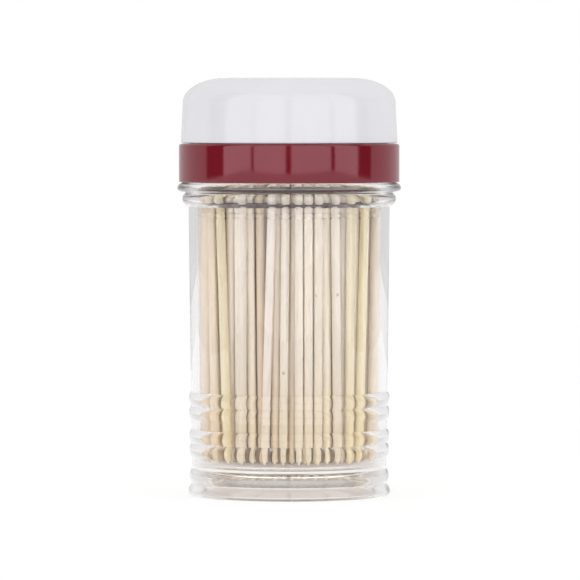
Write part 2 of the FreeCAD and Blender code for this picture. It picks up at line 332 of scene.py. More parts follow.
def clear_plastic(look):
    """Clear moulded plastic: sharp refraction, faint flow marks and light handling marks."""
    material, nodes = new_material("clear_plastic")
    place = nodes.object_place()
    flow = nodes.streaks(place, across=70.0, along=26.0, detail=1.0)
    rub = nodes.streaks(place, across=900.0, along=260.0, detail=3.0)
    nodes.surface(nodes.add("ShaderNodeBsdfPrincipled", {}, {
        "Base Color": (*look.clear_tint, 1.0),
        "Roughness": rub.smoothstep(0.55, 0.85) * 0.05,
        "IOR": look.clear_ior,
        "Transmission Weight": 1.0,
        "Normal": nodes.bump(flow, strength=0.05, distance=1.0 * MM),
    }))
    return material


def moulded_plastic(name, tint, deep_tint, mirror, mirror_level, roughness):
    """Opaque moulded plastic: faint colour flow, an even gloss that handling has dulled in places."""
    material, nodes = new_material(name)
    place = nodes.object_place()
    flow = nodes.streaks(place, across=90.0, along=45.0, detail=3.0)
    handled = nodes.noise(place, 160.0, detail=4.0)
    pores = nodes.noise(place, 2600.0, detail=2.0)
    nodes.surface(nodes.add("ShaderNodeBsdfPrincipled", {}, {
        "Base Color": nodes.mix(flow.smoothstep(0.35, 0.7), (*deep_tint, 1.0), (*tint, 1.0)),
        "Roughness": handled.smoothstep(0.4, 0.8) * 0.05 + roughness,
        "IOR": 1.5,
        "Specular Tint": (*mirror, 1.0),
        "Specular IOR Level": mirror_level,
        "Normal": nodes.bump(pores, strength=0.03, distance=0.2 * MM),
    }))
    return material


# What the marks in the wood multiply a pick's own tone by. The last two are painted shade, not wood: warmer
# and darker towards the picks' feet, and dark brown on the core picks that show only in the gaps.
FIBRE_TINT = (0.9, 0.86, 0.8)
CLOUD_TINT = (1.03, 1.02, 1.0)
VESSEL_TINT = (0.72, 0.63, 0.52)
KNOT_TINT = (0.45, 0.33, 0.24)
FOOT_PAINTED_SHADE = (1.0, 0.95, 0.82)
CORE_PAINTED_SHADE = (0.42, 0.31, 0.21)
# Heights between which the painted shade at the picks' feet and that of the core give way to the plain
# tone.
FOOT_SHADE_FADE = (36.0 * MM, 12.0 * MM)
CORE_SHADE_FADE = (70.5 * MM, 67.5 * MM)


def pick_wood():
    """Pale birch: each pick's own tone, long fibres, darker vessels and a rare knot, with painted shade
    that warms the picks towards their feet and darkens the core picks.
    """
    material, nodes = new_material("pick_wood")
    grain = nodes.attribute("grain", "Vector")
    fibres = nodes.streaks(grain, across=2600.0, along=45.0, detail=3.0, roughness=0.6)
    vessels = nodes.streaks(grain, across=5200.0, along=150.0, detail=1.0)
    clouds = nodes.streaks(grain, across=260.0, along=60.0, detail=2.0)
    knots = nodes.streaks(grain, across=700.0, along=420.0, detail=0.0)
    height = nodes.add("ShaderNodeSeparateXYZ", {}, {0: nodes.object_place()}, output="Z")
    colour = nodes.attribute("tone", "Color")
    for mask, tint_of_mark_or_shade in (
        (fibres.smoothstep(0.3, 0.7) * 0.5, FIBRE_TINT),
        (clouds.smoothstep(0.45, 0.75) * 0.5, CLOUD_TINT),
        (vessels.smoothstep(0.62, 0.75) * 0.45, VESSEL_TINT),
        (knots.smoothstep(0.82, 0.86) * 0.6, KNOT_TINT),
        # Painted shade: warmer and darker towards the picks' feet.
        (height.smoothstep(*FOOT_SHADE_FADE), FOOT_PAINTED_SHADE),
        # Painted shade: dark brown on the core picks, which show only in the gaps, fading out near their
        # tops.
        (nodes.attribute("shade", "Fac") * height.smoothstep(*CORE_SHADE_FADE), CORE_PAINTED_SHADE),
    ):
        colour = nodes.mix(mask, colour, nodes.times(colour, tint_of_mark_or_shade))
    nodes.surface(nodes.add("ShaderNodeBsdfPrincipled", {}, {
        "Base Color": colour,
        "Roughness": fibres.smoothstep(0.2, 0.8) * 0.15 + 0.5,
        "IOR": 1.4,
        "Normal": nodes.bump(fibres, strength=0.25, distance=0.1 * MM),
    }))
    return material


# ---- Sizes and looks ----

def length(name, description, millimetres):
    """A size that is written in millimetres and kept in metres."""
    return bpy.props.FloatProperty(
        name=name, description=description, default=millimetres * MM, min=0.0, unit="LENGTH", precision=5
    )


def tint(name, description, colour):
    """A colour property."""
    return bpy.props.FloatVectorProperty(
        name=name, description=description, default=colour, min=0.0, max=1.0, size=3, subtype="COLOR"
    )


def light(name, description, colour):
    """The brightness of a light in red, green and blue."""
    return bpy.props.FloatVectorProperty(name=name, description=description, default=colour, size=3)


def angle(name, description, degrees):
    """An angle that is written in degrees and kept in radians."""
    return bpy.props.FloatProperty(
        name=name, description=description, default=math.radians(degrees), subtype="ANGLE"
    )


def number(name, description, value):
    """A plain number."""
    return bpy.props.FloatProperty(name=name, description=description, default=value)


def share(name, description, value):
    """A number from 0 to 1."""
    return bpy.props.FloatProperty(
        name=name, description=description, default=value, min=0.0, max=1.0, subtype="FACTOR"
    )


def count(name, description, value):
    """A whole number of like features or divisions."""
    return bpy.props.IntProperty(name=name, description=description, default=value, min=1)


def group(kind, name, description):
    """The settings of one part."""
    return bpy.props.PointerProperty(type=kind, name=name, description=description)


class JarSizes(bpy.types.PropertyGroup):
    """The clear jar."""
    body_radius: length("Body radius", "Outside of the wall, projected down to the foot", 23.58)
    body_taper: number("Body taper", "How far the wall leans out per unit of height", 0.0115)
    wall: length("Wall", "Thickness of the wall", 1.9)
    floor_height: length("Floor height", "Top of the floor inside", 7.0)
    floor_thickness: length("Floor thickness", "Thickness of the raised floor", 1.4)
    floor_fillet: length("Floor fillet", "Rounding between the floor and the wall", 2.5)
    recess_edge: length("Recess edge", "Rounding of the recess under the floor", 1.2)
    foot_height: length("Foot height", "Height of the convex band at the foot", 2.9)
    foot_proud: length("Foot proud", "How far the foot band stands out", 0.94)
    foot_edge: length("Foot edge", "Rounding of the foot's lower edge", 1.0)
    foot_groove: length("Foot groove", "Wall between the foot band and the lowest rib", 0.3)
    rib_width: length("Rib width", "Width of one rib", 3.4)
    rib_proud: length("Rib proud", "How far a rib stands out", 0.55)
    lower_plain: length("Lower plain", "Plain wall over the lowest rib", 2.8)
    upper_plain: length("Upper plain", "Plain wall between two pairs of ribs", 2.2)
    pairs: count("Rib pairs", "Pairs of ribs over the lowest one", 2)
    bead_width: length("Bead width", "Width of the bead under the flange", 3.3)
    bead_proud: length("Bead proud", "How far that bead stands out", 1.48)
    bead_crest: length("Bead crest", "Height of its crest over its lower edge", 1.8)
    bead_flank: length("Bead flank", "Height of its sloping lower flank", 0.7)
    flank_proud: length("Flank proud", "How far that flank stands out at its upper end", 0.9)
    web_height: length("Web height", "Height of the web between the bead and the flange", 0.35)
    web_proud: length("Web proud", "How far the web stands out", 0.75)
    flange_radius: length("Flange radius", "Outside radius of the flange", 27.12)
    flange_thickness: length("Flange thickness", "Thickness of the flange", 2.3)
    flange_crest: length("Flange crest", "Height of the widest line over the flange's lower face", 0.85)
    flange_under: length("Flange under", "Width of the rounding under that line", 1.25)
    flange_over: length("Flange over", "Width of the rounding over that line", 1.9)
    neck_wall: length("Neck wall", "Thickness of the neck", 1.37)
    neck_height: length("Neck height", "From the flange to the rim", 6.9)
    snap_height: length("Snap height", "Middle of the snap bead over the flange", 3.9)
    snap_width: length("Snap width", "Width of the snap bead", 1.8)
    snap_proud: length("Snap proud", "How far the snap bead stands out", 0.35)
    rim_chamfer: length("Rim chamfer", "Chamfer of the rim", 0.4)
    rib_steps: count("Rib steps", "Rings of faces over one rib", 14)
    segments: count("Segments", "Faces round the jar", 240)


class CollarSizes(bpy.types.PropertyGroup):
    """The red collar."""
    radius: length("Radius", "Outside radius", 26.75)
    bore: length("Bore", "Inside radius of the skirt", 24.75)
    edge: length("Edge", "Rounding of the deck's outer edge", 0.6)
    foot_edge: length("Foot edge", "Rounding of the skirt's lower edge", 0.2)
    foot: length("Foot", "Height of the skirt's lower end", 76.0)
    lip_radius: length("Lip radius", "Inside radius of the snap lip", 24.45)
    lip_width: length("Lip width", "Width of the snap lip", 1.4)
    lip_middle: length("Lip middle", "Height of the snap lip", 77.5)
    deck_bottom: length("Deck bottom", "Underside of the deck", 83.3)
    shoulder: length("Shoulder", "Top of the deck", 85.3)
    plug_outside: length("Plug outside", "Outside radius of the plug in the jar's mouth", 22.41)
    plug_wall: length("Plug wall", "Thickness of the plug", 1.2)
    plug_depth: length("Plug depth", "Depth of the plug under the deck", 2.5)
    spigot_radius: length("Spigot radius", "Outside radius of the spigot that the cap snaps over", 24.0)
    spigot_wall: length("Spigot wall", "Thickness of the spigot", 1.4)
    spigot_height: length("Spigot height", "Height of the spigot over the deck", 3.0)
    spigot_bead: length("Spigot bead", "How far the spigot's bead stands out", 0.35)
    bead_width: length("Bead width", "Width of the spigot's bead", 1.0)
    stop_width: length("Stop width", "Width of a stop on the deck", 2.4)
    stop_height: length("Stop height", "Height of a stop over the deck", 1.6)
    stop_gap: length("Stop gap", "From a stop to the chute", 0.15)
    segments: count("Segments", "Faces round the collar", 192)


class CapSizes(bpy.types.PropertyGroup):
    """The white cap."""
    bottom: length("Bottom", "Height of the cap's lower edge", 85.45)
    roof: length("Roof", "Height of the cap's roof", 101.2)
    radius: length("Radius", "Outside radius at the lower edge", 26.26)
    narrowing: length("Narrowing", "How far the side leans in up to the shoulder", 0.46)
    wall: length("Wall", "Thickness of the shell", 1.5)
    edge: length("Edge", "Rounding of the lower edge", 0.4)
    corner_width: length("Corner width", "Width of the rounded shoulder", 10.2)
    corner_drop: length("Corner drop", "Height of the rounded shoulder", 5.9)
    ring_radius: length("Ring radius", "Inside radius of the snap ring", 24.1)
    ring_height: length("Ring height", "Top of the snap ring", 87.15)
    ring_width: length("Ring width", "Width of the snap ring", 0.9)
    chute_radius: length("Chute radius", "Outside radius of the chute", 2.6)
    chute_foot: length("Chute foot", "Lower end of the chute", 85.45)
    mouth_depth: length("Mouth depth", "Depth of the chute's flared mouth", 0.8)
    segments: count("Segments", "Faces round the cap", 192)


class PortSizes(bpy.types.PropertyGroup):
    """The hole that lets one pick out, in the collar's deck and in the cap."""
    radius: length("Radius", "Radius of the port and of the chute's bore", 1.65)
    offset: length("Offset", "From the axis", 14.0)
    lead: length("Lead", "Height of the funnel under the deck's port", 1.4)
    spread: length("Spread", "How much wider the funnel is", 1.6)
    port_angle: angle("Port angle", "Where the deck's port is", -90)
    shut_angle: angle("Shut angle", "Where the cap's chute is when shut", -180)
    segments: count("Segments", "Faces round the port and the chute", 64)


class PickSizes(bpy.types.PropertyGroup):
    """The toothpicks."""
    length: length("Length", "Length of a pick", 65.5)
    diameter: length("Diameter", "Diameter of a pick", 2.0)
    tip_diameter: length("Tip diameter", "Diameter of the point's end", 0.5)
    point_length: length("Point length", "Length of the taper", 6.0)
    core_point: length("Core point", "Length of the taper of the picks inside the bundle", 2.5)
    taper_swell: share("Taper swell", "Fullness of the taper half way up, 0.5 if it is straight", 0.52)
    top_chamfer: length("Top chamfer", "Chamfer round the flat top", 0.1)
    groove_depth: length("Groove depth", "Depth of the two grooves near the top", 0.24)
    groove_width: length("Groove width", "Width of a groove", 0.5)
    first_groove: length("First groove", "From the top to the upper groove", 4.5)
    second_groove: length("Second groove", "From the top to the lower groove", 5.7)
    ring_step: length("Ring step", "From one ring of picks to the next", 2.15)
    row_step: share("Row step", "From one row of the core to the next, as a share of that", 0.87)
    sides: count("Sides", "Faces round a pick", 16)
    core_sides: count("Core sides", "Faces round a pick inside the bundle", 8)
    seed: count("Seed", "Seed of the picks' tones, turns and places in the grain", 7)


class Looks(bpy.types.PropertyGroup):
    """Finishes."""
    clear_tint: tint("Clear tint", "Colour of the clear plastic", (0.982, 0.975, 0.971))
    clear_ior: number("Clear IOR", "Refractive index of the clear plastic", 1.57)
    red: tint("Red", "Colour of the collar", (0.165, 0.0075, 0.016))
    deep_red: tint("Deep red", "Its darker flow marks", (0.15, 0.006, 0.0135))
    red_mirror: tint("Red mirror", "Colour of what the collar mirrors", (1.0, 0.62, 0.68))
    red_mirror_level: share("Red mirror level", "How strongly the collar mirrors", 0.9)
    red_roughness: share("Red roughness", "Roughness of the collar where it isn't handled", 0.07)
    white: tint("White", "Colour of the cap", (0.768, 0.763, 0.798))
    deep_white: tint("Deep white", "Its darker flow marks", (0.748, 0.743, 0.776))
    white_mirror: tint("White mirror", "Colour of what the cap mirrors", (1.0, 1.0, 1.0))
    white_mirror_level: share("White mirror level", "How strongly the cap mirrors", 0.5)
    white_roughness: share("White roughness", "Roughness of the cap where it isn't handled", 0.14)


class Studio(bpy.types.PropertyGroup):
    """Camera, floor and light."""
    distance: length("Distance", "From the camera to the jar's axis", 1309.5)
    height: length("Height", "Height of the camera", 93.9)
    aside: length("Aside", "How far right of the axis the camera stands", 0.2)
    pitch: angle("Pitch", "How far the camera looks down", 1.93)
    lens: bpy.props.FloatProperty(
        name="Lens", description="Focal length", default=335.0, subtype="DISTANCE_CAMERA"
    )
    floor_reach: length("Floor reach", "Half the width of the floor", 600.0)
    floor_gap: length("Floor gap", "How far the floor lies under the foot, to keep their faces apart", 0.05)
    shadow: share("Shadow", "How much of the object's shadow the floor shows", 0.2)
    glass_tone: tint("Glass tone", "Colour of the floor seen through the jar", (0.90, 0.89, 0.89))
    # Painted shadow: the floor seen through the jar is darker close round its foot and darkest under it.
    painted_near_shadow: tint("Near tone", "The same close round the jar's foot", (0.86, 0.84, 0.84))
    painted_under_shadow: tint("Under tone", "The same under the jar", (0.66, 0.58, 0.54))
    panel: number("Panels", "Brightness of the light panels", 2.0)
    dark: share("Dark", "Brightness between the panels, as a share of theirs", 0.02)
    glass_dark: share("Glass dark", "The same, seen through the jar", 0.42)
    overhead: share("Overhead", "Brightness overhead, as a share of the panels'", 0.45)
    below: share("Below", "Brightness from below, as a share of the panels'", 0.45)
    gloss_share: share("Gloss share", "Share of all this light that shows in gloss", 0.87)
    fill: number("Fill", "Brightness of the light all round", 1.0)
    inner_fill: number("Inner fill", "Brightness of what reaches the picks through the jar", 2.78)
    second_fill: light("Second fill", "The same light by way of one more pick", (9.2, 8.7, 7.7))
    third_fill: light("Third fill", "The same light by way of two more picks", (3.9, 3.1, 2.2))
    gap_fill: light("Gap fill", "The same light by way of several more picks", (0.4, 0.2, 0.08))


class Dispenser(bpy.types.PropertyGroup):
    """All that can be set."""
    jar: group(JarSizes, "Jar", "Sizes of the jar")
    collar: group(CollarSizes, "Collar", "Sizes of the collar")
    cap: group(CapSizes, "Cap", "Sizes of the cap")
    port: group(PortSizes, "Port", "Sizes of the port")
    picks: group(PickSizes, "Toothpicks", "Sizes of the picks")
    looks: group(Looks, "Looks", "Finishes")
    studio: group(Studio, "Studio", "Camera, floor and light")


# ---- Jar ----

def ridge(radius, middle, width, proud):
    """Points (r, z) of a snap bead with sloping flanks and a flat crest, up a straight wall."""
    return [
        (radius, middle - width / 2),
        (radius + proud, middle - width / 6),
        (radius + proud, middle + width / 6),
        (radius, middle + width / 2),
    ]


def rib_bases(jar):
    """The lower edge of each rib, from the foot up."""
    base = jar.foot_height + jar.foot_groove
    bases = [base]
    base += jar.rib_width + jar.lower_plain
    for _ in range(jar.pairs):
        bases += [base, base + jar.rib_width]
        base += 2 * jar.rib_width + jar.upper_plain
    return bases


def foot_outline(jar, foot_inside, wall_radius):
    """Points (r, z) round the foot: flat underneath, a rounded edge, then a convex face up to the wall."""
    edge_r = jar.body_radius + jar.foot_proud - jar.foot_edge
    top_r = wall_radius(jar.foot_height)
    face = []
    steps = 8
    for k in range(1, steps + 1):
        rise = k / steps
        z = jar.foot_edge + (jar.foot_height - jar.foot_edge) * rise
        out = 1 - rise ** 2
        face.append((top_r + (edge_r + jar.foot_edge - top_r) * out, z))
    return [(foot_inside, 0.0)] + arc((edge_r, jar.foot_edge), jar.foot_edge, -90, 0, steps=6) + face


def flange_edge(jar, bottom, top):
    """Points (r, z) round the flange's edge: a short curve up to the crest, then a longer one over it."""
    crest = bottom + jar.flange_crest
    under, over = jar.flange_under, jar.flange_over
    edge = oval((jar.flange_radius - under, crest), under, crest - bottom, -90, 0, steps=9)
    return edge + oval((jar.flange_radius - over, crest), over, top - crest, 0, 90, steps=9)[1:]


def jar_outline(jar):
    """The jar's closed outline in the (r, z) half plane."""
    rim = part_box("jar")[1][2]

    def outside(z):
        """Outside radius of the wall."""
        return jar.body_radius + jar.body_taper * z

    def inside(z):
        """Inside radius of the wall."""
        return outside(z) - jar.wall

    foot_inside = jar.body_radius - jar.wall
    underside = jar.floor_height - jar.floor_thickness
    edge = jar.recess_edge
    points = [(0.0, underside)]
    points += arc((foot_inside - edge, underside - edge), edge, 90, 0, steps=5)
    points += foot_outline(jar, foot_inside, outside)
    for base in rib_bases(jar):
        points += bulge(outside, base, base + jar.rib_width, jar.rib_proud, jar.rib_steps)
    flange_top = rim - jar.neck_height
    flange_bottom = flange_top - jar.flange_thickness
    web_foot = flange_bottom - jar.web_height
    web = outside(web_foot) + jar.web_proud
    bead_foot = web_foot - jar.bead_width
    crest_z = bead_foot + jar.bead_crest
    flank = (outside(bead_foot) + jar.flank_proud, bead_foot + jar.bead_flank)
    crest = (outside(crest_z) + jar.bead_proud, crest_z)
    points.append((outside(bead_foot), bead_foot))
    points += arc_through(flank, crest, (web, web_foot), 2 * jar.rib_steps)
    points.append((web, flange_bottom))
    points += flange_edge(jar, flange_bottom, flange_top)
    neck = inside(rim) + jar.neck_wall
    points.append((neck, flange_top))
    points += ridge(neck, flange_top + jar.snap_height, jar.snap_width, jar.snap_proud)
    points += [
        (neck, rim - jar.rim_chamfer),
        (neck - jar.rim_chamfer, rim),
        (inside(rim) + jar.rim_chamfer, rim),
        (inside(rim - jar.rim_chamfer), rim - jar.rim_chamfer),
    ]
    wall_base = jar.floor_height + jar.floor_fillet
    points += arc((inside(wall_base) - jar.floor_fillet, wall_base), jar.floor_fillet, 0, -90, steps=10)
    points.append((0.0, jar.floor_height))
    return points


class DISPENSER_OT_jar(bpy.types.Operator):
    """Turns the clear jar from its outline"""
    bl_idname = "dispenser.jar"
    bl_label = "Jar"

    def execute(self, context):
        settings = context.scene.dispenser
        piece = turned_mesh("clear_jar", jar_outline(settings.jar), settings.jar.segments)
        piece.data.materials.append(clear_plastic(settings.looks))
        settle(piece, "jar", "clear_plastic", "jar")
        return {"FINISHED"}


# ---- Collar and cap ----

def port_bar(port, turn, side, name):
    """A form to join or cut, made round the port's own axis from the points up its side."""
    outline = [(0.0, side[0][1]), *side, (0.0, side[-1][1])]
    bar = turned_mesh(name, outline, port.segments)
    place = (port.offset * math.cos(turn), port.offset * math.sin(turn), 0.0)
    bar.data.transform(Matrix.Translation(place))
    return bar


def collar_outline(collar):
    """The collar's closed outline: skirt with its snap lip, deck, plug and spigot."""
    edge = collar.radius - collar.edge
    inner = collar.spigot_radius - collar.spigot_wall
    top = collar.shoulder + collar.spigot_height
    plug_inside = collar.plug_outside - collar.plug_wall
    plug_bottom = collar.deck_bottom - collar.plug_depth
    foot_r = collar.radius - collar.foot_edge
    points = [(collar.bore, collar.foot)]
    points += arc((foot_r, collar.foot + collar.foot_edge), collar.foot_edge, -90, 0, steps=4)
    points += arc((edge, collar.shoulder - collar.edge), collar.edge, 0, 90, steps=8)
    points.append((collar.spigot_radius, collar.shoulder))
    bead_middle = top - collar.bead_width / 2
    points += ridge(collar.spigot_radius, bead_middle, collar.bead_width, collar.spigot_bead)
    points += [
        (inner, top), (inner, collar.shoulder), (0.0, collar.shoulder), (0.0, collar.deck_bottom),
        (plug_inside, collar.deck_bottom), (plug_inside, plug_bottom),
        (collar.plug_outside, plug_bottom), (collar.plug_outside, collar.deck_bottom),
        (collar.bore, collar.deck_bottom),
    ]
    lip = ridge(collar.bore, collar.lip_middle, collar.lip_width, collar.lip_radius - collar.bore)
    return points + lip[::-1]


def stop_lug(collar, port, chute_radius, turn):
    """A low wall across the chute's path on the deck."""
    mesh = bmesh.new()
    bmesh.ops.create_cube(mesh, size=1.0)
    low = collar.shoulder - OVERLAP
    high = collar.shoulder + collar.stop_height
    size = Matrix.Diagonal((2 * chute_radius, collar.stop_width, high - low, 1.0))
    place = Matrix.Rotation(turn, 4, "Z") @ Matrix.Translation((port.offset, 0.0, (low + high) / 2))
    mesh.transform(place @ size)
    return mesh_piece("stop_lug", mesh)


class DISPENSER_OT_collar(bpy.types.Operator):
    """Turns the red collar, adds its stops and cuts its port"""
    bl_idname = "dispenser.collar"
    bl_label = "Collar"

    def execute(self, context):
        settings = context.scene.dispenser
        collar, port, cap = settings.collar, settings.port, settings.cap
        piece = turned_mesh("red_collar", collar_outline(collar), collar.segments)
        swing = math.asin((cap.chute_radius + collar.stop_gap + collar.stop_width / 2) / port.offset)
        for turn in (port.shut_angle - swing, port.port_angle + swing):
            combined(piece, stop_lug(collar, port, cap.chute_radius, turn), "UNION")
        bottom = collar.deck_bottom
        wide = port.radius + port.spread
        bore = [
            (wide, bottom - OVERLAP), (wide, bottom), (port.radius, bottom + port.lead),
            (port.radius, collar.shoulder + OVERLAP),
        ]
        combined(piece, port_bar(port, port.port_angle, bore, "port_tool"), "DIFFERENCE")
        finish_edges(piece)
        looks = settings.looks
        piece.data.materials.append(moulded_plastic(
            "red_plastic", looks.red, looks.deep_red, looks.red_mirror, looks.red_mirror_level,
            looks.red_roughness,
        ))
        settle(piece, "collar", "red_plastic", "collar")
        return {"FINISHED"}


def cap_outline(cap):
    """The cap's closed outline: tapered side, elliptical shoulder, flat roof and inner snap ring."""
    base = cap.roof - cap.corner_drop
    side = cap.radius - cap.narrowing

    def inside(z):
        """Inside radius of the tapered side."""
        return cap.radius - cap.wall - cap.narrowing * (z - cap.bottom) / (base - cap.bottom)

    corner = (side - cap.corner_width, base)
    ring_low = cap.ring_height - cap.ring_width
    third = cap.ring_width / 3
    points = [(inside(cap.bottom), cap.bottom)]
    points += arc((cap.radius - cap.edge, cap.bottom + cap.edge), cap.edge, -90, 0, steps=8)
    points += oval(corner, cap.corner_width, cap.corner_drop, 0, 90, steps=28)
    points += [(0.0, cap.roof), (0.0, cap.roof - cap.wall)]
    points += oval(corner, cap.corner_width - cap.wall, cap.corner_drop - cap.wall, 90, 0, steps=16)
    points += [
        (inside(cap.ring_height), cap.ring_height), (cap.ring_radius, cap.ring_height - third),
        (cap.ring_radius, ring_low + third), (inside(ring_low), ring_low),
    ]
    return points


class DISPENSER_OT_cap(bpy.types.Operator):
    """Turns the white cap, adds its chute and cuts the chute's bore"""
    bl_idname = "dispenser.cap"
    bl_label = "Cap"

    def execute(self, context):
        settings = context.scene.dispenser
        cap, port = settings.cap, settings.port
        piece = turned_mesh("white_cap", cap_outline(cap), cap.segments)
        chute = [(cap.chute_radius, cap.chute_foot), (cap.chute_radius, cap.roof - cap.wall / 2)]
        combined(piece, port_bar(port, port.shut_angle, chute, "chute"), "UNION")
        wide = port.radius + cap.mouth_depth
        bore = [
            (port.radius, cap.chute_foot - OVERLAP), (port.radius, cap.roof - cap.mouth_depth),
            (wide, cap.roof), (wide, cap.roof + OVERLAP),
        ]
        combined(piece, port_bar(port, port.shut_angle, bore, "bore_tool"), "DIFFERENCE")
        finish_edges(piece)
        looks = settings.looks
        piece.data.materials.append(moulded_plastic(
            "white_plastic", looks.white, looks.deep_white, looks.white_mirror, looks.white_mirror_level,
            looks.white_roughness,
        ))
        settle(piece, "cap", "white_plastic", "cap")
        return {"FINISHED"}


# ---- Toothpicks ----

TONES = {
    "chalk": (0.95, 0.91, 0.82),
    "pale": (0.87, 0.81, 0.73),
    "cream": (0.78, 0.72, 0.64),
    "peach": (0.82, 0.76, 0.67),
    "pink": (0.82, 0.76, 0.71),
    "tan": (0.82, 0.73, 0.62),
    "ochre": (0.87, 0.80, 0.61),
    "brown": (0.66, 0.54, 0.42),
}
OUTER_TONES = (
    "cream cream tan tan ochre cream pink cream cream cream cream cream ochre ochre pale pale"
).split()
SECOND_TONES = "tan tan tan brown peach peach chalk peach cream cream chalk brown brown brown".split()
USUAL_TONES = "cream peach pink pale tan ochre".split()
# How much darker or lighter than its tone a pick may be.
TONE_RANGE = (0.97, 1.02)
# Corners round each end of a pick's solid.
END_CORNERS = 8
# What each pick's point holds: its direction, roll, tone, place in the grain, and 1 if it is in the core,
# whose picks get painted shade.
PICK_ATTRIBUTES = {
    "along": "FLOAT_VECTOR", "roll": "FLOAT", "tone": "FLOAT_COLOR", "offset": "FLOAT_VECTOR",
    "shade": "FLOAT",
}
# The sizes of a pick that its tree takes, named as in the settings.
PICK_INPUTS = [
    "Length", "Diameter", "Tip diameter", "Point length", "Taper swell", "Groove depth", "Groove width",
    "First groove", "Second groove", "Top chamfer",
]


def pick_axes(node):
    """The foot and top of each pick in a CAD node, from the front to the back."""
    mesh = bmesh.new()
    mesh.from_mesh(bpy.data.objects[node].data)
    bmesh.ops.remove_doubles(mesh, verts=mesh.verts, dist=WELD)
    left = set(mesh.verts)
    axes = []
    for first in mesh.verts:
        if first not in left:
            continue
        left.remove(first)
        island = [first]
        for corner in island:
            for edge in corner.link_edges:
                other = edge.other_vert(corner)
                if other in left:
                    left.remove(other)
                    island.append(other)
        island.sort(key=lambda corner: corner.co.z)
        ends = island[:END_CORNERS], island[-END_CORNERS:]
        axes.append([sum((corner.co for corner in end), Vector()) / len(end) for end in ends])
    mesh.free()
    return sorted(axes, key=lambda axis: axis[0].y)


def core_axes(innermost, step, row_step):
    """The foot and top of picks that fill the bundle inside its innermost ring."""
    ring = [foot for foot, _ in innermost]
    top_z = innermost[0][1].z
    reach = int(max(foot.xy.length for foot in ring) / step) + 1
    axes = []
    for row in range(-reach, reach + 1):
        for column in range(-reach, reach + 1):
            foot = Vector(((column + row % 2 / 2) * step, row * step * row_step, ring[0].z))
            nearest = min(ring, key=lambda other: (other.xy - foot.xy).length)
            if (nearest.xy - foot.xy).length < step or foot.xy.length > nearest.xy.length:
                continue
            axes.append([foot, Vector((foot.x, foot.y, top_z))])
    return axes


def toned(axes, words, chance):
    """Picks with their tones: the given words first, then any of the usual ones."""
    words = words + chance.choices(USUAL_TONES, k=len(axes) - len(words))
    return [(foot, top, TONES[word]) for (foot, top), word in zip(axes, words)]


def pick_points(name, picks, shade, chance):
    """Loose points, one at each pick's foot, with its direction, roll, tone, offset in the grain and share
    of painted core shade.
    """
    data = bpy.data.meshes.new(name)
    data.from_pydata([foot for foot, _, _ in picks], [], [])
    marks = data.attributes
    for attribute, kind in PICK_ATTRIBUTES.items():
        marks.new(attribute, kind, "POINT")
    for k, (foot, top, colour) in enumerate(picks):
        marks["along"].data[k].vector = (top - foot).normalized()
        marks["roll"].data[k].value = chance.uniform(0, 2 * math.pi)
        marks["shade"].data[k].value = shade
        strength = chance.uniform(*TONE_RANGE)
        marks["tone"].data[k].color = (*(part * strength for part in colour), 1.0)
        marks["offset"].data[k].vector = [chance.uniform(0, 1) for _ in range(3)]
    return linked(name, data)


def pick_stations(given):
    """The height and diameter at each ring of corners up a pick: point, side, two grooves and top."""
    length, diameter, tip, point, swell, depth, width, first, second, chamfer = given
    stations = [(0.0, tip), (point * 0.5, (tip + diameter) * swell), (point, diameter)]
    for drop in (second, first):
        groove = length - drop
        stations += [
            (groove - width * 0.5, diameter), (groove, diameter - depth * 2.0),
            (groove + width * 0.5, diameter),
        ]
    return stations + [(length - chamfer, diameter), (length, diameter - chamfer * 2.0)]


